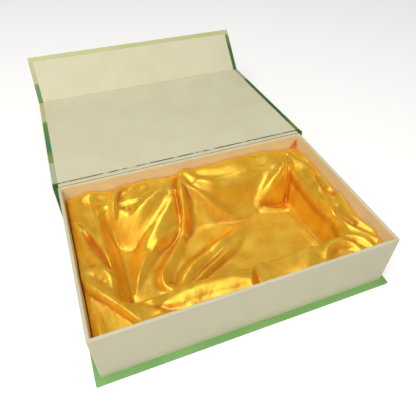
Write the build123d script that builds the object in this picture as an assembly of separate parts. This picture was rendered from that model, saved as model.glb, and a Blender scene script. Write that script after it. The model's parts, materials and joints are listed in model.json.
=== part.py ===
from build123d import *
import os

# Book-style gift box: four greyboards in one turned-in paper wrap, folded around a tray.
# X runs along the long side, Y from the front wall back to the spine, +Z up.
# The origin is the middle of the tray's footprint, on the surface the box stands on.
# At rest the lid lies open behind the tray and the flap is folded part of the way up.
# All sizes are millimetres, and angles are degrees.

# Stock
BOARD = 3.0             # greyboard of the case
TRAY_BOARD = 2.5        # greyboard of the tray
PAPER = 0.2             # printed wrap paper and plain lining paper
TAPE = 0.15             # gummed tape over the tray's corners
EDGE_BEVEL = 0.35       # a board's edges, pressed down under the paper
CORNER_ROUND = 1.6      # the tray's folded corners, over the paper

# Tray, over its papers
TRAY_LENGTH = 300.0
TRAY_WIDTH = 193.0
TRAY_HEIGHT = 64.0
TAPE_REACH = 20.0       # tape on each side of a corner
TAPE_MARGIN = 3.0       # tape short of the wall's top and bottom
LINING_DROP = 1.5       # lining's upper edge below the rim

# Case
SIDE_LEDGE = 5.0        # base, spine, lid and flap stand out past the tray's ends
FRONT_LEDGE = 6.0       # base stands out in front, under the closed flap
TURN_IN = 16.0          # width of the wrap folded over onto a board's inner face
LINER_MARGIN = 6.0      # printed strip left showing beside a liner
LINER_END_MARGIN = 6.8  # the same at the flap's free edge
LINER_SETBACK = 0.7     # a liner stops short of a board's hinged edge
HINGE_GAP = 3.7         # paper alone, from the spine's face to the lid's edge
LID_CLEARANCE = 0.3     # closed lid over the rim
FLAP_CLEARANCE = 1.8    # closed flap in front of the tray
FLAP_GROUND_GAP = 1.0   # closed flap's free edge over the base
CREASE_SLACK = 0.4      # closed flap's liner past the lid's edge
CREASE_HEADROOM = 0.5   # closed flap's end above the lid's outer face, as the lid lies open
PAPER_END_GAP = 0.3     # a hinge paper stops this far from the board that turns past it

# Rest pose
LID_SAG = 2.2           # the open lid hangs this far below level
FLAP_FOLD = 47.5        # from flat with the lid; closed is square to it

# Magnets in the flap, and the keepers that they pull on in the tray's front wall
MAGNET_RADIUS = 6.0
MAGNET_THICKNESS = 2.0
KEEPER_THICKNESS = 1.5
MAGNET_HEIGHT = 24.0    # over the standing surface, with the box closed
MAGNET_SPACING = 180.0
POCKET_PLAY = 0.15      # around a disc in its pocket

# Insert
INSERT_CLEARANCE = 1.2  # foam to the tray's lining, room for the tucked satin
PAD_THICKNESS = 6.0
FOAM_DROP = 17.0        # foam's top below the rim
RECESS_LENGTH = 234.0
RECESS_WIDTH = 126.0
RECESS_CORNER_ROUND = 12.0
LIP_BEVEL = 4.0         # off the foam's upper edges
FOAM_CORNER_ROUND = 6.0
SATIN = 0.8             # satin with the air in its folds
SATIN_GAP = 0.2         # satin to foam
SATIN_TUCK = 22.0       # satin pushed down beside the foam, from its top
FOOT_BEVEL = 7.0        # satin cuts the corner where the recess wall meets the floor

# Case, from its papers outwards
case_thickness = PAPER + BOARD + PAPER
lid_thickness = case_thickness + PAPER
root_two = 2 ** 0.5
paper_bevel = EDGE_BEVEL + PAPER * (2 - root_two)   # keeps the paper's thickness over a bevel
case_half = TRAY_LENGTH / 2 + SIDE_LEDGE

# Tray faces, from the outside in, as half-sizes in X and Y
tray_half = (TRAY_LENGTH / 2, TRAY_WIDTH / 2)
wrap_half = tuple(half - PAPER for half in tray_half)
board_half = tuple(half - TAPE for half in wrap_half)
board_inner = tuple(half - TRAY_BOARD for half in board_half)
lining_half = tuple(half - PAPER for half in board_inner)
cavity_half = tuple(half - PAPER for half in lining_half)
board_round = CORNER_ROUND - PAPER - TAPE

# Levels
tray_bottom = case_thickness
rim = tray_bottom + TRAY_HEIGHT
board_bottom = tray_bottom + PAPER
board_top = rim - PAPER
floor_board_top = board_bottom + TRAY_BOARD
floor_top = floor_board_top + PAPER
pad_top = floor_top + PAD_THICKNESS
foam_top = rim - FOAM_DROP

# Faces along Y
tray_back = tray_half[1]
base_front = -tray_half[1] - FRONT_LEDGE
spine_face = tray_back + case_thickness
base_width = tray_back - base_front
spine_height = rim - 2 * PAPER

# Lid hinge: an axis in the middle of its paper gap, level with the rim.
# A case board's own frame has y=0 at its near edge and z=0 on its outer face.
lid_axis = (0, spine_face + HINGE_GAP / 2, rim + LID_CLEARANCE / 2)
lid_width = TRAY_WIDTH + case_thickness + FLAP_CLEARANCE - CREASE_SLACK
lid_place = Pos(*lid_axis) * Rot(-LID_SAG, 0, 0)
lid_place = lid_place * Pos(0, HINGE_GAP / 2, -LID_CLEARANCE / 2 - lid_thickness)

# Flap hinge: turning the flap square puts its liner past the lid's edge by the slack,
# and its end above the lid's outer face by the headroom
flap_start = CREASE_SLACK + lid_thickness
flap_axis_in_lid = (0, lid_width + flap_start - CREASE_HEADROOM / 2, CREASE_HEADROOM / 2)
closed_flap_end = rim + LID_CLEARANCE + lid_thickness - CREASE_HEADROOM
flap_width = closed_flap_end - case_thickness - FLAP_GROUND_GAP
magnet_reach = closed_flap_end - MAGNET_HEIGHT
flap_place = lid_place * Pos(*flap_axis_in_lid) * Rot(FLAP_FOLD, 0, 0)
flap_place = flap_place * Pos(0, CREASE_HEADROOM / 2, -CREASE_HEADROOM / 2)


def block(x, y, z):
    """A box between three pairs of limits."""
    size = [high - low for low, high in (x, y, z)]
    middle = [(high + low) / 2 for low, high in (x, y, z)]
    return Pos(*middle) * Box(*size)


def slab(half, corner, z):
    """An upright block on a rectangle of two half-sizes with round corners."""
    outline = RectangleRounded(2 * half[0], 2 * half[1], corner)
    return Pos(0, 0, z[0]) * extrude(outline, z[1] - z[0])


def grown(half, amount):
    """Two half-sizes, each larger by the same amount."""
    return tuple(side + amount for side in half)


def bevel_outside(bevel, growth):
    """The bevel of a convex edge once the solid's faces have all moved outwards."""
    return bevel + growth * (2 - root_two)


# Case boards and papers

def case_board(width):
    """A greyboard between its papers, with its edges pressed down."""
    across = (PAPER - case_half, case_half - PAPER)
    board = block(across, (PAPER, width - PAPER), (PAPER, PAPER + BOARD))
    return chamfer(board.edges(), EDGE_BEVEL)


def case_wrap(width, board):
    """Paper over a board's outer face and edges, folded over onto its inner face.

    It is the board grown by the paper, less the board and less a window in the inner face.
    """
    skin = block((-case_half, case_half), (0, width), (0, case_thickness))
    skin = chamfer(skin.edges(), paper_bevel)
    window_x = (TURN_IN - case_half, case_half - TURN_IN)
    window = block(window_x, (TURN_IN, width - TURN_IN), (PAPER + BOARD, case_thickness))
    return skin - board - window


def case_liner(near, far):
    """Plain paper over the turned-in strips and the bare board between them."""
    across = (LINER_MARGIN - case_half, case_half - LINER_MARGIN)
    return block(across, (near, far), (case_thickness, lid_thickness))


def magnet_places(facing):
    """Middles of the two discs, side by side, on a plane that the caller gives."""
    return [facing * Pos(side * MAGNET_SPACING / 2, 0, 0) for side in (-1, 1)]


def disc(place, thickness):
    """A disc whose face lies on the place's plane and whose body is behind it."""
    return place * Pos(0, 0, -thickness / 2) * Cylinder(MAGNET_RADIUS, thickness)


def pocket(place, thickness):
    """The blind hole for a disc, with play around it."""
    return place * Pos(0, 0, -thickness / 2) * Cylinder(MAGNET_RADIUS + POCKET_PLAY, thickness)


def make_base():
    """Base board with its wrap, standing on its outer face."""
    place = Pos(0, base_front, 0)
    board = case_board(base_width)
    return {"base_board": place * board, "base_wrap": place * case_wrap(base_width, board)}


def make_spine():
    """Spine board with its wrap, upright behind the tray, its outer face to the back."""
    place = Pos(0, spine_face, 0) * Rot(90, 0, 0)
    board = case_board(spine_height)
    return {"spine_board": place * board, "spine_wrap": place * case_wrap(spine_height, board)}


def make_lid_hinge():
    """Two papers glued to each other: over the spine's top and on to the lid's edge."""
    reach = (tray_back, spine_face + HINGE_GAP - PAPER_END_GAP)
    across = (-case_half, case_half)
    liner_across = (LINER_MARGIN - case_half, case_half - LINER_MARGIN)
    return {
        "lid_hinge_paper": block(across, reach, (rim - 2 * PAPER, rim - PAPER)),
        "lid_hinge_liner": block(liner_across, reach, (rim - PAPER, rim)),
    }


def make_lid():
    """Lid board, wrap and liner, and the paper that runs on to the flap."""
    board = case_board(lid_width)
    crease = block((-case_half, case_half), (lid_width, lid_width + flap_start - PAPER_END_GAP),
                   (0, PAPER))
    return {
        "lid_board": lid_place * board,
        "lid_wrap": lid_place * case_wrap(lid_width, board),
        "lid_liner": lid_place * case_liner(LINER_SETBACK, lid_width - LINER_SETBACK),
        "flap_hinge_paper": lid_place * crease,
    }


def make_flap():
    """Flap board with two magnets sunk in its inner face, wrap and liner."""
    board = case_board(flap_width)
    wrap = case_wrap(flap_width, board)
    places = magnet_places(Pos(0, magnet_reach, PAPER + BOARD))
    for place in places:
        board -= pocket(place, MAGNET_THICKNESS)
    left, right = [disc(place, MAGNET_THICKNESS) for place in places]
    return {
        "flap_board": flap_place * board,
        "flap_wrap": flap_place * wrap,
        "flap_liner": flap_place * case_liner(LINER_SETBACK, flap_width - LINER_END_MARGIN),
        "flap_magnet_left": flap_place * left,
        "flap_magnet_right": flap_place * right,
    }


# Tray

def wall_ring(outer, corner):
    """The four walls' boards in one, folded round at the corners and pressed down at the top."""
    z = (board_bottom, board_top)
    ring = slab(outer, corner, z) - slab(board_inner, PAPER, z)
    return chamfer(ring.edges().group_by(Axis.Z)[-1], EDGE_BEVEL)


def side_wall(side):
    """An end wall over the tray's full width, its folded corners round; side is -1 or 1."""
    x = sorted((side * board_inner[0], side * TRAY_LENGTH))
    ring = wall_ring(board_half, board_round)
    return ring & block(x, (-TRAY_WIDTH, TRAY_WIDTH), (board_bottom, board_top))


def long_wall(side):
    """The front or back wall, between the end walls; side is -1 for the front."""
    y = sorted((side * board_inner[1], side * TRAY_WIDTH))
    ring = wall_ring(board_half, board_round)
    return ring & block((-board_inner[0], board_inner[0]), y, (board_bottom, board_top))


def make_walls():
    """Four walls and the floor, with a keeper sunk in the front wall for each magnet."""
    front = long_wall(-1)
    facing = Pos(0, -board_half[1], MAGNET_HEIGHT) * Rot(90, 0, 0)
    places = magnet_places(facing)
    for place in places:
        front -= pocket(place, KEEPER_THICKNESS)
    left, right = [disc(place, KEEPER_THICKNESS) for place in places]
    floor = block((-board_inner[0], board_inner[0]), (-board_inner[1], board_inner[1]),
                  (board_bottom, floor_board_top))
    return {
        "tray_front_wall": front,
        "tray_back_wall": long_wall(1),
        "tray_left_wall": side_wall(-1),
        "tray_right_wall": side_wall(1),
        "tray_floor": floor,
        "keeper_left": left,
        "keeper_right": right,
    }


def make_corner_tapes():
    """Gummed tape bent around each corner of the walls."""
    z = (board_bottom + TAPE_MARGIN, board_top - TAPE_MARGIN)
    band = slab(wrap_half, board_round + TAPE, z) - slab(board_half, board_round, z)
    tapes = {}
    for end, x_side in (("left", -1), ("right", 1)):
        for face, y_side in (("front", -1), ("back", 1)):
            x = sorted(side * x_side for side in (wrap_half[0] - TAPE_REACH, TRAY_LENGTH))
            y = sorted(side * y_side for side in (wrap_half[1] - TAPE_REACH, TRAY_WIDTH))
            tapes[f"corner_tape_{face}_{end}"] = band & block(x, y, z)
    return tapes


def make_tray_wrap():
    """Paper around the walls, turned under them at the bottom and over the rim at the top."""
    skin = slab(tray_half, CORNER_ROUND, (tray_bottom, rim))
    skin -= slab(lining_half, PAPER, (tray_bottom, rim))
    skin = chamfer(skin.edges().group_by(Axis.Z)[-1], paper_bevel)
    walls = wall_ring(wrap_half, board_round + TAPE)
    turned_over = slab(board_inner, PAPER, (tray_bottom, rim - TURN_IN))
    turned_under = slab(tray_half, CORNER_ROUND, (tray_bottom, board_bottom))
    turned_under -= slab(grown(tray_half, -TURN_IN), PAPER, (tray_bottom, board_bottom))
    return {"tray_wrap": skin - walls - turned_over + turned_under}


def make_tray_lining():
    """Plain paper on the walls' inner faces and on the floor."""
    outside = slab(lining_half, PAPER, (floor_board_top, rim - LINING_DROP))
    inside = slab(cavity_half, PAPER, (floor_top, rim - LINING_DROP))
    return {"tray_lining": outside - inside}


# Insert

def foam_form(growth, foot_bevel):
    """The foam's upper surface moved outwards by the growth, as a solid on the tray's floor.

    A block less a recess, with both upper edges bevelled, and the foot of the recess where given.
    """
    half = grown(cavity_half, growth - INSERT_CLEARANCE)
    form = slab(half, FOAM_CORNER_ROUND + growth, (floor_top, foam_top + growth))
    recess_half = grown((RECESS_LENGTH / 2, RECESS_WIDTH / 2), -growth)
    recess = slab(recess_half, RECESS_CORNER_ROUND - growth, (pad_top + growth, foam_top + growth))
    if foot_bevel:
        recess = chamfer(recess.edges().group_by(Axis.Z)[0], foot_bevel)
    form -= recess
    return chamfer(form.edges().group_by(Axis.Z)[-1], bevel_outside(LIP_BEVEL, growth))


def make_insert():
    """Foam frame and pad, with the satin over them and tucked down beside them."""
    foam = foam_form(0, 0)
    pad_cut = block((-TRAY_LENGTH, TRAY_LENGTH), (-TRAY_WIDTH, TRAY_WIDTH), (floor_top, pad_top))
    satin = foam_form(SATIN_GAP + SATIN, FOOT_BEVEL)
    satin -= foam_form(SATIN_GAP, bevel_outside(FOOT_BEVEL, SATIN))
    tuck_end = foam_top - SATIN_TUCK
    below = slab(cavity_half, PAPER, (floor_top, tuck_end))
    below -= slab(grown(cavity_half, -INSERT_CLEARANCE - LIP_BEVEL), PAPER, (floor_top, tuck_end))
    return {
        "foam_frame": foam - pad_cut,
        "foam_pad": foam & pad_cut,
        "satin_lining": satin - below,
    }


def make_box():
    """Every piece of the box by name, each in its place at rest."""
    groups = (make_base(), make_spine(), make_lid_hinge(), make_lid(), make_flap(), make_walls(),
              make_corner_tapes(), make_tray_wrap(), make_tray_lining(), make_insert())
    return {name: solid for group in groups for name, solid in group.items()}


def print_hinges():
    """Each hinge's axis and range, which the moving parts are described by."""
    flap_axis = (lid_place * Pos(*flap_axis_in_lid)).position
    print("lid hinge", [round(value, 3) for value in lid_axis], "range", 0, 180 + LID_SAG)
    print("flap hinge", [round(value, 3) for value in flap_axis], "range", -FLAP_FOLD, 90 - FLAP_FOLD)
    print("recess floor", round(pad_top + SATIN_GAP + SATIN, 3), "rim", round(rim, 3))


os.makedirs("parts", exist_ok=True)
for node, solid in make_box().items():
    solid.label = node
    export_step(solid, f"parts/{node}.step")
print_hinges()
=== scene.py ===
import json
import math

import bpy
import numpy as np
from mathutils import Matrix, Vector


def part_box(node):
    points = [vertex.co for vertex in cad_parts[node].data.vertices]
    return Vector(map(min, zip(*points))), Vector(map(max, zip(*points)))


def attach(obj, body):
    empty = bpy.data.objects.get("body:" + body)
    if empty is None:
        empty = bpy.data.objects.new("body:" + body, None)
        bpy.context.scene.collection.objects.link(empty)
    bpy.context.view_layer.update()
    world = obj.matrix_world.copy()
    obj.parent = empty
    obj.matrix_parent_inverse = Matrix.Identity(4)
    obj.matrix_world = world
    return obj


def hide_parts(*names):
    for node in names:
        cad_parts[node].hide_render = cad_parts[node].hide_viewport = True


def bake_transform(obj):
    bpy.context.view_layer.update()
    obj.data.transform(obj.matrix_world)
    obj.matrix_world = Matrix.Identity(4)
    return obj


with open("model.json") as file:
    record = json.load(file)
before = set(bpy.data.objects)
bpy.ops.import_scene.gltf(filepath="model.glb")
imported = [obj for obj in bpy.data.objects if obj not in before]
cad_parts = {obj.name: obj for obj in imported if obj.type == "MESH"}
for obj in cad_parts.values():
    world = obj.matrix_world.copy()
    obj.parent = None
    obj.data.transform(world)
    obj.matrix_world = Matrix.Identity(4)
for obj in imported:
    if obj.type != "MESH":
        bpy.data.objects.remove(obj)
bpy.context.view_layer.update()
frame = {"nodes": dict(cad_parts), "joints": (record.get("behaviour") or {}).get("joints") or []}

# The looks of a book-style gift box: paper-covered boards around a tray lined with loose satin.
# X runs along the long side, Y from the front wall back to the open lid, Z up. All in metres,
# but the satin's form and the hinge papers' sections are worked out in millimetres.

MM = 0.001

# Right, back and top limits of the model's pieces that the ones here meet
lining_corner = np.array(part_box("tray_lining")[1])
foam_corner = np.array(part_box("foam_frame")[1])
pad_corner = np.array(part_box("foam_pad")[1])
spine_corner = np.array(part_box("spine_wrap")[1])
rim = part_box("tray_wrap")[1][2]
case_half = spine_corner[0]
axes = {joint["name"]: joint["pos_m"] for joint in frame["joints"]}
lid_axis, flap_axis = axes["lid_hinge"], axes["flap_hinge"]
LID_SAG = math.radians(2.2)         # the open lid, below level
FLAP_FOLD = math.radians(47.5)      # the flap, folded up from the lid
LINER_MARGIN = 6.0 * MM             # printed edge left showing beside each liner


# Nodes and colours

def linear(code):
    """A colour written as sRGB hex, in the linear values that sockets take, and opaque."""
    parts = [int(code[i:i + 2], 16) / 255 for i in (1, 3, 5)]
    curve = [p / 12.92 if p <= 0.04045 else ((p + 0.055) / 1.055) ** 2.4 for p in parts]
    return (*curve, 1.0)


def add(owner, kind, inputs=None, **settings):
    """A node of one kind in a material or world, with its settings, values and links.

    An input is a value, an output to link from, or a node, which stands for its first output.
    """
    tree = owner.node_tree
    node = tree.nodes.new(kind)
    for name, value in settings.items():
        setattr(node, name, value)
    for name, value in (inputs or {}).items():
        if isinstance(value, bpy.types.Node):
            value = value.outputs[0]
        if isinstance(value, bpy.types.NodeSocket):
            tree.links.new(value, node.inputs[name])
        else:
            node.inputs[name].default_value = value
    return node


def emptied(owner):
    """A material or world that uses nodes, with none in it yet."""
    owner.use_nodes = True
    owner.node_tree.nodes.clear()
    return owner


def new_material(name, layout="Object"):
    """An empty material, and the coordinates that its patterns follow."""
    material = emptied(bpy.data.materials.new(name))
    return material, add(material, "ShaderNodeTexCoord").outputs[layout]


def with_surface(material, looks):
    """The material, ended with a surface of the given looks."""
    surface = add(material, "ShaderNodeBsdfPrincipled", looks)
    add(material, "ShaderNodeOutputMaterial", {"Surface": surface})
    return material


def blotches(material, where, size, detail=3.0, rough=0.55, stretch=(1, 1, 1)):
    """Noise whose larger blotches are about the given size across, in metres."""
    scaled = add(material, "ShaderNodeMapping", {"Vector": where, "Scale": stretch})
    return add(material, "ShaderNodeTexNoise",
               {"Vector": scaled, "Scale": 1 / size, "Detail": detail, "Roughness": rough})


def tint(material, tone, ink, pattern, low, high, most=1.0, blend_type="MIX"):
    """A tone with an ink over it: none where the pattern is at low, and the most of it at high."""
    share = add(material, "ShaderNodeMapRange",
                {"Value": pattern, "From Min": low, "From Max": high, "To Max": most},
                interpolation_type="SMOOTHSTEP")
    mixed = add(material, "ShaderNodeMix", {"Factor": share, 6: tone, 7: ink},
                data_type="RGBA", blend_type=blend_type)
    return mixed.outputs[2]


# Papers and boards

FIBRE = 0.9 * MM        # clumps of fibre in the sheet, drawn coarser than they are so as to show
CLOUD = 38 * MM         # faint clouds in the paper's tone and the glue's unevenness under it
PAPER_IOR = 1.47
IVORY = ("#E6E2C2", "#E2DDBC")      # the lining paper, pale and deep


def paper_surface(material, where, colour, roughness, fibre_depth):
    """Paper's finish over a colour: fine fibre relief, and the board's faint waviness under it."""
    fibre = blotches(material, where, FIBRE, 4.0, 0.6)
    cloud = blotches(material, where, CLOUD, 2.0, 0.5)
    grain = add(material, "ShaderNodeBump",
                {"Height": fibre, "Strength": fibre_depth, "Distance": 0.05 * MM})
    wave = add(material, "ShaderNodeBump",
               {"Height": cloud, "Strength": 0.25, "Distance": 0.5 * MM, "Normal": grain})
    rough = add(material, "ShaderNodeMapRange",
                {"Value": cloud, "From Min": 0.3, "From Max": 0.7,
                 "To Min": roughness - 0.04, "To Max": roughness + 0.05},
                interpolation_type="SMOOTHSTEP")
    return with_surface(material, {"Base Color": colour, "Roughness": rough, "Normal": wave,
                                   "IOR": PAPER_IOR})


def plain_paper(name, pale, deep, satin_bounce=None):
    """Uncoated ivory lining paper, calendered: soft, with faint clouds of tone and fine flecks.

    An inner tone, if given, is painted light on the tray's inner faces: a warmer tone for the
    light that the satin bounces onto them.
    """
    material, where = new_material(name)
    cloud = blotches(material, where, CLOUD)
    fleck = blotches(material, where, FIBRE, 5.0, 0.7)
    tone = tint(material, linear(deep), linear(pale), cloud, 0.3, 0.7)
    tone = tint(material, tone, linear(deep), fleck, 0.62, 0.78, 0.35)
    if satin_bounce:
        # Painted bounce light from the satin: the warm tone covers the inner faces, and fades out
        # where a place lies beyond the lining's outer faces
        reach = add(material, "ShaderNodeVectorMath", {0: where}, operation="ABSOLUTE")
        past = add(material, "ShaderNodeVectorMath", {0: reach, 1: tuple(lining_corner)},
                   operation="SUBTRACT")
        split = add(material, "ShaderNodeSeparateXYZ", {0: past})
        beyond = add(material, "ShaderNodeMath", {0: split.outputs[0], 1: split.outputs[1]},
                     operation="MAXIMUM")
        tone = tint(material, tone, linear(satin_bounce), beyond, 0.6 * MM, 0.2 * MM)
    return paper_surface(material, where, tone, 0.62, 0.35)


def creased_paper(name, pale, deep, line, crease_shadow, gaps):
    """Lining paper over a hinge, with painted shadow along the crease where it bends, in short
    dashes.
    """
    material, where = new_material(name)
    split = add(material, "ShaderNodeSeparateXYZ", {0: where})
    cloud = blotches(material, where, CLOUD)
    dash = blotches(material, where, 7 * MM, 3.0, 0.6, (1, 0.1, 0.1))
    tone = tint(material, linear(deep), linear(pale), cloud, 0.3, 0.7)
    past = add(material, "ShaderNodeMath", {0: split.outputs[1], 1: line}, operation="SUBTRACT")
    off = add(material, "ShaderNodeMath", {0: past}, operation="ABSOLUTE")
    shadow_dashes = add(material, "ShaderNodeMapRange",
               {"Value": dash, "From Min": 0.36, "From Max": 0.5, "To Min": gaps},
               interpolation_type="SMOOTHSTEP")
    # Painted shadow along the crease line, broken into dashes
    tone = tint(material, tone, linear(crease_shadow), off, 0.7 * MM, 0.3 * MM, shadow_dashes)
    return paper_surface(material, where, tone, 0.62, 0.35)


def plain_green(name, pale, deep):
    """Offset-printed art paper under a matte film where it is one green: smooth, barely clouded."""
    material, where = new_material(name)
    blotch = blotches(material, where, 60 * MM)
    tone = tint(material, linear(deep), linear(pale), blotch, 0.35, 0.7)
    return paper_surface(material, where, tone, 0.5, 0.12)


# Printed colours, each at the left end of the box and at the right end
GREEN = ("#64964A", "#417431")
OLIVE = ("#8FA04E", "#7D8C3E")
TEAL = ("#4A8A66", "#417431")
KHAKI = ("#CFCB96", "#B7B5A2")
GREY_KHAKI = ("#C9C99C", "#989C85")
SAGE = ("#B7C4A0", "#A9BC90")
LIGHT_OLIVE = ("#D2D49A", "#CFD198")
DEEP_GREEN = "#3A6A2C"

# Bands of the print: colour, where it starts, its line's slope, sway and period, and its softness
LID_BANDS = [
    (OLIVE, 20 * MM, -0.168, 3 * MM, 0.11, 1.2 * MM),
    (TEAL, 44 * MM, -0.16, 4 * MM, 0.13, 9 * MM),
    (GREEN, 78 * MM, -0.12, 4 * MM, 0.12, 14 * MM),
    (OLIVE, 146 * MM, 0.06, 5 * MM, 0.15, 4 * MM),
    (KHAKI, 153 * MM, 0.065, 5 * MM, 0.15, 1 * MM),
]
FLAP_BANDS = [
    (OLIVE, 35 * MM, 0.071, 2 * MM, 0.09, 5 * MM),
    (GREY_KHAKI, 42 * MM, 0.071, 3 * MM, 0.12, 1 * MM),
    (LIGHT_OLIVE, 59.3 * MM, 0.0, 0.0, 0.12, 0.5 * MM),
]


def past_line(material, across, along, start, slope, sway, period):
    """How far a point lies past a wavy line across the print.

    The line is straight from one side to the other, with a slow sine sway added to it.
    """
    turn = add(material, "ShaderNodeMath", {0: across, 1: 2 * math.pi / period},
               operation="MULTIPLY")
    wave = add(material, "ShaderNodeMath", {0: turn}, operation="SINE")
    tilt = add(material, "ShaderNodeMath", {0: across, 1: slope, 2: start},
               operation="MULTIPLY_ADD")
    line = add(material, "ShaderNodeMath", {0: wave, 1: sway, 2: tilt}, operation="MULTIPLY_ADD")
    return add(material, "ShaderNodeMath", {0: along, 1: line}, operation="SUBTRACT")


def printed_paper(name, origin, angle, first, bands):
    """Offset-printed art paper under a matte film: broad wavy bands of leaf greens and khaki.

    The bands run across the board. Origin and angle lay the print's own Y along the board.
    """
    material, where = new_material(name)
    laid = add(material, "ShaderNodeMapping",
               {"Vector": where, "Location": origin, "Rotation": (angle, 0, 0)},
               vector_type="TEXTURE")
    split = add(material, "ShaderNodeSeparateXYZ", {0: laid})
    across, along = split.outputs[0], split.outputs[1]

    def ink(colour):
        return tint(material, linear(colour[0]), linear(colour[1]), across, -case_half, case_half)

    tone = ink(first)
    for colour, start, slope, sway, period, soft in bands:
        past = past_line(material, across, along, start, slope, sway, period)
        tone = tint(material, tone, ink(colour), past, -soft, soft)
    blotch = blotches(material, where, 46 * MM)
    tone = tint(material, tone, linear(DEEP_GREEN), blotch, 0.4, 0.75, 0.22, "SOFT_LIGHT")
    return paper_surface(material, where, tone, 0.5, 0.12)


def greyboard():
    """Grey chipboard made from waste paper: speckled, dull and slightly furry at its cut edges."""
    material, where = new_material("greyboard")
    fleck = blotches(material, where, 1.5 * MM, 5.0, 0.75)
    tone = tint(material, linear("#8C877C"), linear("#ABA699"), fleck, 0.35, 0.7)
    return paper_surface(material, where, tone, 0.85, 0.6)


def gummed_tape():
    """Brown kraft paper tape: strong and unbleached, with fibre streaks along it."""
    material, where = new_material("kraft_tape")
    streak = blotches(material, where, 2 * MM, 4.0, 0.6, (1, 1, 0.2))
    tone = add(material, "ShaderNodeMix",
               {"Factor": streak, 6: linear("#B08A5C"), 7: linear("#C9A67A")},
               data_type="RGBA").outputs[2]
    return paper_surface(material, where, tone, 0.7, 0.4)


# Foam, metal and cloth

def packing_foam():
    """Open-cell polyurethane foam, cut from a block: white and matt, with small dark cells."""
    material, where = new_material("polyurethane_foam")
    cells = add(material, "ShaderNodeTexVoronoi", {"Vector": where, "Scale": 1 / (1.1 * MM)})
    tone = tint(material, linear("#F1EEE6"), linear("#CFC9BA"), cells, 0.1, 0.6)
    relief = add(material, "ShaderNodeBump",
                 {"Height": cells, "Strength": 0.6, "Distance": 0.4 * MM})
    return with_surface(material, {"Base Color": tone, "Roughness": 0.9, "Normal": relief})


def nickel_plate():
    """Nickel plating on the magnets and keepers: bright, with a faint tumbled haze."""
    material, where = new_material("nickel_plate")
    haze = blotches(material, where, 1.5 * MM, 4.0)
    rough = add(material, "ShaderNodeMapRange",
                {"Value": haze, "From Min": 0.3, "From Max": 0.7, "To Min": 0.22, "To Max": 0.34},
                interpolation_type="SMOOTHSTEP")
    return with_surface(material, {"Base Color": linear("#C9C6BE"), "Metallic": 1.0,
                                   "Roughness": rough})


def satin_cloth(name, deep, pale, crease_shade_colour):
    """Polyester satin: long floats of bright yarn one way, so its gloss streaks across the folds.

    The hollows are painted darker and redder: painted shade, and painted light that has passed
    through the cloth and back. The yarns are far finer than a pixel, so their grain is drawn
    coarser. A high IOR with a yellow specular tint gives the floats' strong yellow gloss without
    the darkness of a metal.
    """
    material, where = new_material(name, "UV")
    crumple = blotches(material, where, 26 * MM, 4.0, 0.6)
    yarn = blotches(material, where, 0.8 * MM, 2.0, 0.5, (1, 0.12, 1))
    tone = tint(material, linear(deep), linear(pale), crumple, 0.3, 0.75)
    # Painted shade: the colour goes towards a dark red where the sheet is hollow, for the shade and
    # the reddened bounce light in its creases
    hollow = add(material, "ShaderNodeAttribute", attribute_name="hollow")
    tone = add(material, "ShaderNodeMix",
               {"Factor": hollow.outputs["Fac"], 6: tone, 7: linear(crease_shade_colour)},
               data_type="RGBA").outputs[2]
    soft = add(material, "ShaderNodeBump",
               {"Height": crumple, "Strength": 0.35, "Distance": 2.2 * MM})
    relief = add(material, "ShaderNodeBump",
                 {"Height": yarn, "Strength": 0.12, "Distance": 0.06 * MM, "Normal": soft})
    tangent = add(material, "ShaderNodeTangent", direction_type="UV_MAP", uv_map="cut")
    return with_surface(material, {
        "Base Color": tone, "Metallic": 0.3, "Roughness": 0.35,
        "Anisotropic": 0.75, "Anisotropic Rotation": 0.125, "Tangent": tangent,
        "IOR": 3.0, "Specular Tint": linear("#FFF27C"),
        "Sheen Weight": 0.05, "Sheen Roughness": 0.35, "Sheen Tint": linear("#FFE48A"),
        "Normal": relief})


# Surfaces

def grid_piece(name, points, material, uv=None, hollow=None):
    """A mesh from a grid of points, rows by columns by three, with a quad between neighbours."""
    rows, columns = points.shape[:2]
    index = np.arange(rows * columns).reshape(rows, columns)
    quads = np.stack([index[:-1, :-1], index[:-1, 1:], index[1:, 1:], index[1:, :-1]], -1)
    quads = quads.reshape(-1, 4)
    mesh = bpy.data.meshes.new(name)
    mesh.vertices.add(rows * columns)
    mesh.vertices.foreach_set("co", points.reshape(-1).astype(np.float32))
    mesh.loops.add(quads.size)
    mesh.loops.foreach_set("vertex_index", quads.reshape(-1).astype(np.int32))
    mesh.polygons.add(len(quads))
    mesh.polygons.foreach_set("loop_start", (np.arange(len(quads)) * 4).astype(np.int32))
    mesh.polygons.foreach_set("loop_total", np.full(len(quads), 4, np.int32))
    mesh.polygons.foreach_set("use_smooth", np.ones(len(quads), bool))
    if uv is not None:
        layer = mesh.uv_layers.new(name="cut")
        layer.data.foreach_set("uv", uv.reshape(-1, 2)[quads.reshape(-1)].reshape(-1))
    if hollow is not None:
        attribute = mesh.attributes.new("hollow", "FLOAT", "POINT")
        attribute.data.foreach_set("value", hollow.reshape(-1).astype(np.float32))
    mesh.update(calc_edges=True)
    mesh.validate()
    mesh.materials.append(material)
    piece = bpy.data.objects.new(name, mesh)
    bpy.context.scene.collection.objects.link(piece)
    return piece


# The satin's form: a height over the tray's floor, in millimetres, with its folds laid in plan

cavity = lining_corner[:2] / MM - 0.4
foam_half = foam_corner[:2] / MM
foam_top = foam_corner[2] / MM
pad_top = pad_corner[2] / MM
foam_recess = np.array([117.0, 63.0])
FOAM_BEVEL = 4.0
FOAM_CORNER = 6.0
RECESS_CORNER = 11.0
FOAM_MARGIN = 0.2       # the frame's outer faces are taken out by this
RECESS_MARGIN = 1.0     # and the recess's faces in by this, so that the sheet stays clear
CLEARANCE = 0.7         # least height of the sheet over the foam
SETTLE = 2.2            # how softly the sheet comes to rest on the foam
bank_top = foam_top + 1.0
recess_floor = pad_top + 1.0
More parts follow.
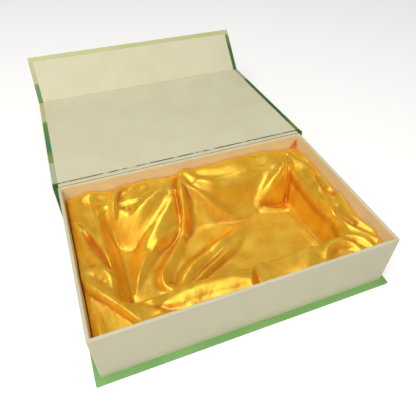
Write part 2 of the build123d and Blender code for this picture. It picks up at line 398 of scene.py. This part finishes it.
# Where the sheet starts down from the bank on each side, and how long that slope is in plan
BACK_EDGE = 68.0
FRONT_EDGE, FRONT_SLOPE = -66.0, 11.0
LEFT_EDGE, LEFT_SLOPE = -121.0, 18.0
RIGHT_EDGE, RIGHT_SLOPE = 122.0, 16.0
# The back slope's length at places along X, and the shifts that it is averaged over
SLOPE_PLACES = [-121, -100, -65, -36, -18, 50, 85, 104, 120]
SLOPE_LENGTHS = [16, 42, 62, 56, 44, 44, 46, 44, 26]
SLOPE_SHIFTS = (-14, -7, 0, 7, 14)
TURN_WIDTH = 5.6        # the bank rounds over within this of the tray's wall
TURN_SPREAD = 9.0
TUCK = 20.0             # depth of the part pushed down beside the foam
TUCK_WIDTH = 1.2
SAMPLES = 160           # points along a fold's line
COARSE, FINE = 1.2, 0.45    # spacing of the sheet's grid on level parts and on steep ones
# Steep stretches each side of the middle, along X and along Y: distance out, and width
STEEP_X = [(cavity[0] - 1, 3), (109, 12)]
STEEP_Y = [(cavity[1] - 1, 3), (55, 12)]


def grid_lines(half, steep):
    """Positions from -half to half, closer together where the satin is steep.

    The number of them per millimetre rises in a bell about each steep stretch.
    """
    line = np.linspace(-half, half, 4001)
    density = np.full_like(line, 1 / COARSE)
    for middle, width in steep:
        density += (1 / FINE - 1 / COARSE) * np.exp(-((np.abs(line) - middle) / width) ** 2)
    total = np.concatenate([[0], np.cumsum((density[1:] + density[:-1]) / 2 * np.diff(line))])
    count = int(round(total[-1]))
    return np.interp(np.linspace(0, total[-1], count + 1), total, line)


def ease(t):
    """0 to 1 with flat ends."""
    t = np.clip(t, 0, 1)
    return t * t * (3 - 2 * t)


def rounded_distance(x, y, half, corner):
    """Distance outside a rectangle with round corners, negative inside."""
    dx = np.abs(x) - half[0] + corner
    dy = np.abs(y) - half[1] + corner
    outside = np.hypot(np.maximum(dx, 0), np.maximum(dy, 0))
    return outside + np.minimum(np.maximum(dx, dy), 0) - corner


def foam_height(x, y):
    """The top of the foam over the plan: bank with bevelled edges, and the pad in the recess."""
    outside = rounded_distance(x, y, foam_half + FOAM_MARGIN, FOAM_CORNER)
    inside = -rounded_distance(x, y, foam_recess - RECESS_MARGIN, RECESS_CORNER)
    bevel = np.maximum(np.maximum(outside, inside) + FOAM_BEVEL, 0)
    return np.where((outside > 0) | (inside > 0), pad_top, foam_top - bevel)


def satin_base(x, y):
    """The satin with no folds: bank, sloping recess walls, floor, and the tuck at the tray's wall.

    The wall is the product of four eased ramps, one down from each side of the recess. The back
    one is long, because the sheet hangs loose there, and longest on the left.
    """
    back_slope = np.mean([np.interp(x + shift, SLOPE_PLACES, SLOPE_LENGTHS)
                          for shift in SLOPE_SHIFTS], axis=0)
    down_back = ease((BACK_EDGE - y) / back_slope)
    down_front = ease((y - FRONT_EDGE) / FRONT_SLOPE)
    down_left = ease((x - LEFT_EDGE) / LEFT_SLOPE)
    down_right = ease((RIGHT_EDGE - x) / RIGHT_SLOPE)
    wall = down_back * down_front * down_left * down_right
    height = bank_top - wall * (bank_top - recess_floor)
    edge = np.minimum(cavity[0] - np.abs(x), cavity[1] - np.abs(y))
    height -= np.maximum(TURN_WIDTH - edge, 0) ** 2 / TURN_SPREAD
    height -= TUCK * (1 - ease(edge / TUCK_WIDTH)) ** 1.5
    return height


def over_foam(x, y, height):
    """Lifts the sheet softly clear of the foam wherever it would pass through.

    Its height over the least one is the log of one plus the exponential of what it was.
    """
    least = foam_height(x, y) + CLEARANCE
    return least + SETTLE * np.logaddexp(0, (height - least) / SETTLE)


def spline(points):
    """A smooth curve through chosen points, with the columns after x and y carried along it.

    Each span is a cubic whose slope at a point is half the step between that point's neighbours.
    """
    points = np.array(points, float)
    ends = np.vstack([2 * points[0] - points[1], points, 2 * points[-1] - points[-2]])
    spans = len(points) - 1
    place = np.linspace(0, spans, SAMPLES)
    span = np.minimum(place.astype(int), spans - 1)
    t = (place - span)[:, None]
    before, near, far, after = (ends[span + step] for step in range(4))
    return 0.5 * (2 * near + (far - before) * t
                  + (2 * before - 5 * near + 4 * far - after) * t ** 2
                  + (3 * near - before - 3 * far + after) * t ** 3)


def fold(x, y, points, left=1.0, right=1.0, crease=0.3):
    """A fold's height over the plan.

    Points are x, y, height and width in millimetres. The section is a bell with a shallow valley
    beyond it, which fades with the square of the distance over the width, and a sharp ridge on
    top, which fades with the distance itself. The ridge's share of the height is the crease. The
    width is times left or right of the way the points run: a small factor makes that side steep.
    """
    curve = spline(points)
    step = np.gradient(curve[:, :2], axis=0)
    step /= np.maximum(np.hypot(step[:, 0], step[:, 1]), 1e-9)[:, None]
    reach = 3.6 * curve[:, 3].max() * max(left, right)
    low, high = curve[:, :2].min(0) - reach, curve[:, :2].max(0) + reach
    near = (x > low[0]) & (x < high[0]) & (y > low[1]) & (y < high[1])
    dx = x[near][:, None] - curve[None, :, 0]
    dy = y[near][:, None] - curve[None, :, 1]
    gap = dx * dx + dy * dy
    k = np.argmin(gap, axis=1)
    row = np.arange(len(k))
    side = step[k, 0] * dy[row, k] - step[k, 1] * dx[row, k]
    distance = np.sqrt(gap[row, k])
    leftness = 0.5 + 0.5 * np.clip(side / np.maximum(distance, 0.05), -1, 1)
    width = curve[k, 3] * (right + (left - right) * leftness)
    ratio = (distance / width) ** 2
    bell = (1 - 0.55 * ratio) * np.exp(-0.75 * ratio)
    ridge = np.exp(-2.6 * np.sqrt(ratio + 0.02))
    height = np.zeros_like(x)
    height[near] = curve[k, 2] * ((1.04 - crease) * bell + crease * ridge)
    return height


# Each fold: points of x, y, height and width, its left and right width factors, and its crease
# where that isn't the usual one. They were placed to follow the real sheet's main folds.
FOLDS = [
    # left bank: a leaf of two ridges with a deep gap, and the strip beside it
    ([(-144, 50, 2, 5), (-138, 42, 6, 5), (-129, 28, 9, 5), (-122, 8, 9, 5), (-118, -12, 7, 5),
      (-114, -32, 4, 5)], 1.5, 0.6, 0.4),
    ([(-142, 48, 2, 4), (-138, 34, 6, 4.5), (-136, 16, 7, 5), (-134, 2, 7, 5), (-127, -12, 6, 5),
      (-119, -24, 3, 4)], 1.2, 0.9, 0.4),
    ([(-137, 44, -3, 2.4), (-133, 34, -5, 2.6), (-127, 12, -8, 2.8), (-122, -4, -8, 2.6),
      (-118, -20, -4, 2.4)], 1.0, 1.0),
    ([(-118, 78, 3, 4), (-116, 62, 7, 5), (-118, 24, 7, 5), (-117, 0, 6, 5), (-116, -22, 4, 5)],
     1.2, 0.7, 0.4),
    ([(-133, 84, 1, 8), (-132, 66, 4, 9), (-135, 48, 1, 8)], 1.0, 1.0),
    # front left: the roll across the corner, the lobe behind it, and the hollow in front
    ([(-148, -8, 4, 7), (-146, -22, 8, 8), (-138, -39, 11, 9), (-126, -56, 11, 9),
      (-114, -73, 9, 9), (-105, -88, 6, 8)], 1.1, 0.45, 0.35),
    ([(-136, -16, 3, 5), (-128, -20, 7, 6), (-119, -31, 8, 6), (-112, -44, 6, 6),
      (-102, -56, 4, 6)], 0.8, 1.2),
    ([(-105, -60, -3, 3), (-94, -70, -5, 3.5), (-80, -81, -5, 3.5), (-64, -86, -3, 3.5)], 1.0, 1.0),
    ([(-139, -48, -4, 6), (-130, -66, -9, 9), (-120, -84, -8, 10)], 1.0, 1.0, 0.05),
    ([(-138, -56, 2, 4), (-138, -70, 5, 4), (-139, -90, 4, 4)], 1.0, 0.8),
    # back left: a mound in the corner, and a curl with its fold down the wall
    ([(-140, 84, 2, 8), (-120, 86, 8, 11), (-106, 84, 4, 8)], 1.0, 1.0),
    ([(-78, 86, 5, 6), (-88, 81, 9, 5), (-95, 70, 9, 5), (-100, 56, 5, 5)], 0.7, 1.3, 0.4),
    ([(-88, 76, -4, 4), (-88, 66, -6, 5), (-82, 58, -3, 5)], 1.0, 1.0),
    # soft swags across the back wall
    ([(-31, 58, 2, 6), (-42, 46, 6, 8), (-58, 34, 8, 9), (-76, 22, 6, 9), (-90, 12, 2, 8)],
     1.0, 1.0, 0.15),
    ([(-32, 78, 2, 7), (-46, 68, 5, 9), (-64, 55, 7, 10), (-84, 43, 4, 9), (-98, 36, 1, 8)],
     1.0, 1.0, 0.15),
    # the bunch at the back, its fold down the wall, and two swags to the right
    ([(-9, 92, 8, 8), (-12, 82, 11, 8), (-19, 72, 12, 6), (-22, 60, 13, 5.5), (-24, 46, 12, 5),
      (-27, 34, 9, 5), (-29, 26, 5, 5)], 1.3, 0.7, 0.4),
    ([(-22, 82, -4, 2.6), (-27, 70, -5, 2.6), (-29, 56, -4, 2.6), (-31, 44, -2, 2.6)], 1.0, 1.0),
    ([(-8, 82, 5, 5), (-2, 73, 7, 6), (10, 62, 9, 8), (30, 54, 8, 10), (56, 54, 5, 12),
      (80, 60, 2, 12)], 1.1, 0.8),
    ([(-16, 72, 4, 5), (-10, 62, 6, 5), (6, 48, 8, 6), (26, 34, 7, 7), (42, 29, 4, 7),
      (58, 31, 1, 6)], 1.1, 0.7, 0.4),
    ([(-12, 86, 4, 7), (10, 83, 4, 9), (34, 78, 4, 10), (60, 78, 2, 12)], 1.0, 1.0),
    ([(4, 88, 2, 12), (26, 86, 5, 15), (60, 84, 8, 18), (92, 85, 8, 16), (112, 88, 3, 12)],
     1.0, 1.0, 0.1),
    ([(-76, 88, 2, 12), (-58, 84, 5, 15), (-40, 86, 2, 12)], 1.0, 1.0, 0.1),
    # the pouch at the back right, the crease under it, and the line below
    ([(120, 76, 4, 8), (113, 64, 9, 9), (103, 51, 15, 11), (91, 45, 15, 11), (79, 41, 9, 9),
      (70, 39, 3, 6)], 1.0, 1.0, 0.1),
    ([(121, 72, -5, 3), (117, 58, -9, 3.3), (111, 43, -11, 3.4), (100, 33, -8, 3.2),
      (85, 33, -5, 3), (73, 36, -2, 3)], 1.0, 1.0),
    ([(72, 31, 1, 4), (87, 26, 3, 4), (101, 23, 4, 3.5)], 1.0, 1.0, 0.4),
    ([(134, 92, -4, 7), (146, 84, -6, 8)], 1.0, 1.0, 0.05),
    # right bank: a ridge along it and rucks towards the front
    ([(122, 78, 4, 6), (126, 62, 7, 6), (134, 44, 8, 6), (131, 24, 7, 6), (128, 8, 5, 6)], 0.9, 1.3),
    ([(144, 72, 3, 6), (143, 52, 4, 6), (143, 30, 3, 6), (139, 6, 3, 6)], 1.0, 1.0),
    ([(136, 26, -4, 4), (133, 12, -5, 4), (137, -4, -4, 4)], 1.0, 1.0),
    ([(127, 12, 4, 5), (124, -8, 7, 6), (120, -26, 8, 5), (117, -37, 7, 4.5), (121, -50, 7, 5),
      (129, -64, 7, 5), (140, -80, 5, 5)], 0.9, 1.1, 0.4),
    ([(143, -8, 4, 6), (139, -26, 6, 6), (136, -42, 6, 5), (139, -56, 6, 5), (145, -70, 5, 5)],
     1.0, 1.0),
    ([(130, -24, -4, 3), (127, -38, -6, 3), (131, -52, -5, 3)], 1.0, 1.0),
    # front right: two crescents
    ([(78, -84, 2, 6), (86, -73, 8, 7), (98, -69, 10, 7), (111, -75, 8, 6), (117, -86, 3, 5)],
     1.0, 0.8),
    ([(101, -62, 4, 5), (115, -66, 8, 6), (126, -75, 8, 6), (131, -88, 4, 5)], 1.0, 0.8),
    ([(95, -82, -4, 6), (104, -84, -5, 6)], 1.0, 1.0),
    # front bank: a long roll, the pleat, and a mound beyond it
    ([(-98, -88, 3, 8), (-78, -75, 7, 11), (-48, -71, 9, 13), (-20, -72, 9, 13), (-2, -78, 6, 10)],
     1.0, 0.8),
    ([(4, -94, 5, 7), (7, -80, 7, 8), (12, -66, 5, 7), (20, -58, 2, 6)], 0.18, 2.0),
    ([(1, -92, -4, 1.8), (4, -80, -6, 1.8), (9, -68, -4, 1.8)], 1.0, 1.0),
    ([(46, -92, 2, 14), (58, -79, 7, 16), (68, -64, 6, 14)], 1.0, 1.0),
    # recess floor: a lobe of two ridges from the bunch's foot, and two long ridges across
    ([(-29, 30, 5, 5), (-38, 18, 8, 7), (-51, 2, 10, 10), (-67, -17, 11, 11), (-71, -32, 9, 10),
      (-61, -44, 4, 8)], 1.0, 0.6, 0.35),
    ([(-31, 31, 4, 5), (-46, 26, 7, 7), (-63, 18, 9, 9), (-82, 3, 10, 10), (-93, -14, 8, 9),
      (-101, -32, 4, 8)], 0.8, 1.2, 0.35),
    ([(48, 20, 1, 8), (32, 12, 7, 10), (12, 2, 10, 11), (-16, -9, 10, 10), (-44, -24, 8, 9),
      (-58, -42, 4, 8)], 1.3, 0.7, 0.25),
    ([(28, -3, 1, 6), (12, -12, 5, 6), (-3, -20, 7, 6), (-20, -28, 8, 5.5), (-40, -39, 7, 5.5),
      (-56, -46, 4, 6)], 0.9, 0.8),
    ([(-114, 46, 3, 4.5), (-107, 28, 5, 4.5), (-107, 3, 6, 5), (-109, -22, 6, 5),
      (-111, -44, 4, 5), (-113, -60, 2, 5)], 1.0, 1.0, 0.4),
    # the double line at the right wall's foot
    ([(101, 24, 3, 2.8), (104, 2, 4, 2.6), (106, -22, 4, 2.6), (108, -46, 3, 2.8)], 1.0, 1.0, 0.4),
    ([(96, 20, 1, 2.4), (99, 0, 2, 2.2), (101, -22, 2, 2.2), (103, -44, 1, 2.4)], 1.0, 1.0),
]

CREST = 55.0        # crests above this are pressed down, to clear the closed lid
CREST_ROOM = 6.0
CREST_GIVE = 9.0
SWELL = 30.0        # size of the sheet's own slack waves, over the whole of it
SWELL_HEIGHT = 0.7
RUCK = 11.0         # size of the small rucks across it
RUCK_HEIGHT = 0.07
CREASE_REACH, DIP_REACH = 2, 7      # grid points each way that a crease or a dip is set against
MOST_HOLLOW = 0.75


def waves(x, y, size, count, seed):
    """Soft random waves: sines of about one length, each at its own angle and phase, averaged."""
    random = np.random.default_rng(seed)
    total = np.zeros_like(x)
    for _ in range(count):
        angle, phase = random.uniform(0, 2 * math.pi, 2)
        length = size * random.uniform(0.7, 1.5)
        along = x * math.cos(angle) + y * math.sin(angle)
        total += np.sin(2 * math.pi * along / length + phase)
    return total / math.sqrt(count)


def blur(field, reach):
    """The field averaged over squares of grid points that reach so far each way."""
    for axis in (0, 1):
        padded = np.concatenate([np.repeat(np.take(field, [0], axis), reach + 1, axis), field,
                                 np.repeat(np.take(field, [-1], axis), reach, axis)], axis)
        total = np.cumsum(padded, axis)
        width = 2 * reach + 1
        count = field.shape[axis]
        ahead = np.take(total, np.arange(width, width + count), axis)
        field = (ahead - np.take(total, np.arange(count), axis)) / width
    return field


def satin_height(x, y):
    """The sheet's height: its base, every fold, slack waves, crests pressed down, and foam."""
    height = satin_base(x, y)
    for shape in FOLDS:
        height += fold(x, y, *shape)
    height += waves(x, y, SWELL, count=7, seed=3) * SWELL_HEIGHT
    bend = waves(x, y, 3 * RUCK, count=5, seed=8) * 0.6 * RUCK
    height += waves(x + bend, y - bend, RUCK, count=9, seed=5) * RUCK_HEIGHT
    pressed = CREST + CREST_ROOM * np.tanh((height - CREST) / CREST_GIVE)
    height = np.where(height > CREST, pressed, height)
    return over_foam(x, y, height)


def painted_crease_shade(x, y, height):
    """How hollow each point is, from its depth below the height averaged about it. It sets how
    much painted crease shade the satin's colour gets there.

    Narrow creases count for most and wide dips for little, and the sheet's rim for nothing.
    """
    crease = blur(height, CREASE_REACH) - height
    dip = blur(height, DIP_REACH) - height
    inside = rounded_distance(x, y, cavity, 2.0) < -3
    hollow = np.clip(crease * 1.4 - 0.1, 0, 0.8) + np.clip(dip * 0.1 - 0.08, 0, 0.2)
    return np.clip(blur(hollow * inside, 1), 0, MOST_HOLLOW)


def flat_layout(points):
    """The sheet laid flat: length along the grid's rows and columns, from the middle ones."""
    along = np.linalg.norm(np.diff(points, axis=1), axis=2)
    across = np.linalg.norm(np.diff(points, axis=0), axis=2)
    u = np.pad(np.cumsum(along, 1), ((0, 0), (1, 0)))
    v = np.pad(np.cumsum(across, 0), ((1, 0), (0, 0)))
    u -= u[:, [points.shape[1] // 2]]
    v -= v[[points.shape[0] // 2], :]
    return np.stack([u, v], -1)


TIP_WIDTH, TIP_HEIGHT = 9.0, 11.0
TIP_PLACE = (142.0, 91.6, 51.0)
TIP_TAPER = 0.92                    # share of the width lost by the top
TIP_LEAN_RIGHT, TIP_LEAN_FORWARD = 2.2, 0.8
TIP_BULGE, TIP_LIFT = 2.4, 1.2      # the middle's way forwards and up


def corner_tip(material):
    """The sheet's own cut corner, turned up at the back right, as a small bent triangle.

    It narrows upwards, leans right and a little forwards, and bulges by half a sine across.
    """
    across, up = np.meshgrid(np.linspace(0, 1, 13), np.linspace(0, 1, 13))
    width = TIP_WIDTH * (1 - TIP_TAPER * up)
    bulge = np.sin(across * math.pi) * (1 - up)
    x = TIP_PLACE[0] - width * (0.55 - across) + TIP_LEAN_RIGHT * up
    y = TIP_PLACE[1] - TIP_BULGE * bulge - TIP_LEAN_FORWARD * up ** 2
    z = TIP_PLACE[2] + TIP_HEIGHT * up + TIP_LIFT * bulge
    layout = np.stack([across * TIP_WIDTH, up * TIP_HEIGHT], -1) * MM
    return grid_piece("satin_corner", np.stack([x, y, z], -1) * MM, material, layout)


def make_satin():
    """The golden sheet over the foam, and its corner with the orange back showing."""
    # The last colour of each satin is the painted shade in its creases
    cloth = satin_cloth("gold_polyester_satin", "#F4AE22", "#FFCE42", "#BE4A10")
    turned = satin_cloth("orange_satin_back", "#E2501A", "#EC6A22", "#B02E0A")
    x, y = np.meshgrid(grid_lines(cavity[0], STEEP_X), grid_lines(cavity[1], STEEP_Y))
    height = satin_height(x, y)
    points = np.stack([x, y, height], -1) * MM
    piece = grid_piece("satin_sheet", points, cloth, flat_layout(points),
                       painted_crease_shade(x, y, height))
    tip = corner_tip(turned)
    for part in (piece, tip):
        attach(part, "tray")
    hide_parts("satin_lining")


# Hinge papers, each a strip of one section run across the box

HALF_GAP = 1.85     # half of the paper gap between the spine's face and the lid's edge
LID_DEPTH = 3.75    # the lid's outer face below its axis
STRIP_COLUMNS = 32  # points of each strip along X
liner_half = case_half - LINER_MARGIN

# Sections in the lid's own plane: along the lid from its near edge, and up from its outer face
CREASE_LINER = [(196.9, 3.64), (197.5, 3.66), (198.1, 3.45), (198.7, 3.05), (199.2, 2.95),
                (199.62, 3.2), (199.95, 3.56), (200.3, 3.94)]
CREASE_WRAP = [(197.0, -0.04), (198.6, -0.03), (200.2, -0.02), (201.3, 0.02), (201.8, 0.2),
               (202.1, 0.44), (202.5, 0.86)]


def from_lid(along, up):
    """The Y and Z, in metres, of a place in the lid's own section, given in millimetres."""
    along, up = (along + HALF_GAP) * MM, (up - LID_DEPTH) * MM
    return (lid_axis[1] + along * math.cos(LID_SAG) + up * math.sin(LID_SAG),
            lid_axis[2] - along * math.sin(LID_SAG) + up * math.cos(LID_SAG))


def strip(name, section, half, material):
    """A paper strip: a section of y, z points repeated at each place along X, thin as paper."""
    points = np.empty((STRIP_COLUMNS, len(section), 3))
    points[:, :, 0] = np.linspace(-half, half, STRIP_COLUMNS)[:, None]
    points[:, :, 1:] = np.array(section)
    return grid_piece(name, points, material)


def make_hinges(spine_print, flap_print):
    """The papers that bend at both hinges, each following the two boards that it joins."""
    top, face = rim / MM, spine_corner[1] / MM
    edge = face + 2 * HALF_GAP
    dip = [(face - 3.2, top + 0.03), (face - 0.3, top + 0.05), (face + 0.4, top - 0.1),
           (face + 1.4, top - 0.45), (face + 2.6, top - 0.6), (face + 3.3, top - 0.75),
           (edge + 0.15, top - 0.42), (edge + 0.5, top + 0.02), (edge + 0.75, top + 0.05)]
    # Both strips get painted crease shadow: dark brown at the lid's hinge, a faint khaki line at the
    # flap's fold
    creased = creased_paper("ivory_hinge_paper", *IVORY, line=(edge - 0.1) * MM,
                            crease_shadow="#35261A", gaps=0.3)
    folded = creased_paper("ivory_crease_paper", *IVORY, line=from_lid(198.9, 2.95)[0],
                           crease_shadow="#A9A57C", gaps=0.8)
    for name, node, half, drop, material in (
            ("lid_hinge_liner_strip", "lid_hinge_liner", liner_half, 0.0, creased),
            ("lid_hinge_paper_strip", "lid_hinge_paper", case_half, 0.16, spine_print)):
        piece = strip(name, [(y * MM, (z - drop) * MM) for y, z in dip], half, material)
        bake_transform(piece)
        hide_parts(node)
    for name, section, half, low, high, material, slot in (
            ("flap_crease_liner_strip", CREASE_LINER, liner_half, 197.6, 199.9, folded,
             "plain_paper"),
            ("flap_hinge_paper_strip", CREASE_WRAP, case_half, 200.4, 202.1, flap_print,
             "printed_paper")):
        piece = strip(name, [from_lid(along, up) for along, up in section], half, material)
        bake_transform(piece)
        if slot == "printed_paper":
            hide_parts("flap_hinge_paper")


# Stage, lamps and camera

WHITE = (1, 1, 1, 1)
FLOOR_HALF = 25.0
FLOOR_DROP = 0.2 * MM
FLOOR_GLOW = 0.42       # added to the floor as seen and as mirrored, so that it shows near white
ROOM_LIGHT = 0.22
LAMP_COLOUR = "#FFFDF8"
LAMP_TARGET = (0, 0.05, 0.03)


def make_stage():
    """A plain white floor that keeps the box's shadow."""
    material = emptied(bpy.data.materials.new("stage_paper"))
    path = add(material, "ShaderNodeLightPath")
    seen = add(material, "ShaderNodeMath", {0: path.outputs["Is Camera Ray"],
                                            1: path.outputs["Is Glossy Ray"]}, operation="MAXIMUM")
    glow = add(material, "ShaderNodeMath", {0: seen, 1: FLOOR_GLOW}, operation="MULTIPLY")
    diffuse = add(material, "ShaderNodeBsdfDiffuse", {"Color": (0.8, 0.8, 0.8, 1)})
    emission = add(material, "ShaderNodeEmission", {"Color": WHITE, "Strength": glow})
    both = add(material, "ShaderNodeAddShader", {0: diffuse, 1: emission})
    add(material, "ShaderNodeOutputMaterial", {"Surface": both})
    mesh = bpy.data.meshes.new("stage_floor")
    corners = [(x * FLOOR_HALF, y * FLOOR_HALF, -FLOOR_DROP)
               for x, y in ((-1, -1), (1, -1), (1, 1), (-1, 1))]
    mesh.from_pydata(corners, [], [(0, 1, 2, 3)])
    mesh.materials.append(material)
    floor = bpy.data.objects.new("stage_floor", mesh)
    bpy.context.scene.collection.objects.link(floor)


def area_light(name, place, size, power):
    """A soft square lamp at a place, facing the box."""
    lamp = bpy.data.lights.new(name, "AREA")
    lamp.shape = "SQUARE"
    lamp.size = size
    lamp.energy = power
    lamp.color = linear(LAMP_COLOUR)[:3]
    holder = bpy.data.objects.new(name, lamp)
    holder.location = place
    toward = Vector(LAMP_TARGET) - Vector(place)
    holder.rotation_euler = toward.to_track_quat("-Z", "Y").to_euler()
    bpy.context.scene.collection.objects.link(holder)


def make_lights():
    """A broad lamp over the left shoulder, a weak one in front, and an even pale room."""
    world = emptied(bpy.data.worlds.new("studio"))
    bpy.context.scene.world = world
    path = add(world, "ShaderNodeLightPath")
    room = add(world, "ShaderNodeBackground", {"Color": (1.0, 0.99, 0.97, 1),
                                               "Strength": ROOM_LIGHT})
    seen = add(world, "ShaderNodeBackground", {"Color": WHITE, "Strength": 1.0})
    both = add(world, "ShaderNodeMixShader", {0: path.outputs["Is Camera Ray"], 1: room, 2: seen})
    add(world, "ShaderNodeOutputWorld", {"Surface": both})
    area_light("key", (-0.4, -0.35, 1.4), size=1.2, power=17)
    area_light("front", (-0.3, -1.2, 0.7), size=0.8, power=3)


def make_camera():
    """The camera where the photograph was taken from, found from the box's own edges."""
    place = Vector((-0.11807, -0.27047, 0.36286))
    yaw, pitch, roll = (math.radians(angle) for angle in (21.426, 44.505, 0.575))
    focal_pixels, frame_pixels, sensor = 407.18, 416.0, 36.0
    forward = Vector((math.sin(yaw) * math.cos(pitch), math.cos(yaw) * math.cos(pitch),
                      -math.sin(pitch)))
    level = Vector((math.cos(yaw), -math.sin(yaw), 0))
    upright = level.cross(forward)
    right = level * math.cos(roll) + upright * math.sin(roll)
    up = upright * math.cos(roll) - level * math.sin(roll)
    data = bpy.data.cameras.new("camera")
    data.sensor_width = sensor
    data.lens = focal_pixels / frame_pixels * sensor
    data.clip_start = 0.01
    holder = bpy.data.objects.new("camera", data)
    turn = Matrix((right, up, -forward)).transposed()
    holder.matrix_world = Matrix.Translation(place) @ turn.to_4x4()
    bpy.context.scene.collection.objects.link(holder)
    bpy.context.scene.camera = holder


# Putting it together

def dress(material, *starts):
    """Gives a material to the model's own pieces whose names start so."""
    for node, piece in frame["nodes"].items():
        if node.startswith(starts):
            piece.data.materials.clear()
            piece.data.materials.append(material)


def main():
    """Dresses the model's pieces, then makes the hinge papers, the satin and the stage."""
    spine_print = plain_green("spine_green_print", "#3E6A2C", "#33591F")
    lid_print = printed_paper("wavy_band_print_lid", tuple(lid_axis), -LID_SAG, SAGE, LID_BANDS)
    flap_print = printed_paper("wavy_band_print_flap", tuple(flap_axis), FLAP_FOLD - LID_SAG,
                               GREEN, FLAP_BANDS)
    dress(plain_green("leaf_green_print", "#86B96B", "#78AE5E"), "base_wrap")
    dress(spine_print, "spine_wrap")
    dress(lid_print, "lid_wrap")
    dress(flap_print, "flap_wrap")
    dress(plain_paper("ivory_lining_paper", *IVORY), "lid_liner", "flap_liner")
    # The tray paper is toned a little darker than the lining paper, partly as painted shade for the
    # tray's dim front wall, and its inner faces get painted bounce light from the satin
    dress(plain_paper("ivory_tray_paper", "#DDD8BB", "#D8D2B5", satin_bounce="#F4E2B8"),
          "tray_wrap", "tray_lining")
    dress(greyboard(), "base_board", "spine_board", "lid_board", "flap_board", "tray_floor",
          "tray_front_wall", "tray_back_wall", "tray_left_wall", "tray_right_wall")
    dress(gummed_tape(), "corner_tape")
    dress(packing_foam(), "foam")
    dress(nickel_plate(), "keeper", "flap_magnet")
    make_hinges(spine_print, flap_print)
    make_satin()
    make_stage()
    make_lights()
    make_camera()
    bpy.context.scene.view_settings.view_transform = "Standard"


main()
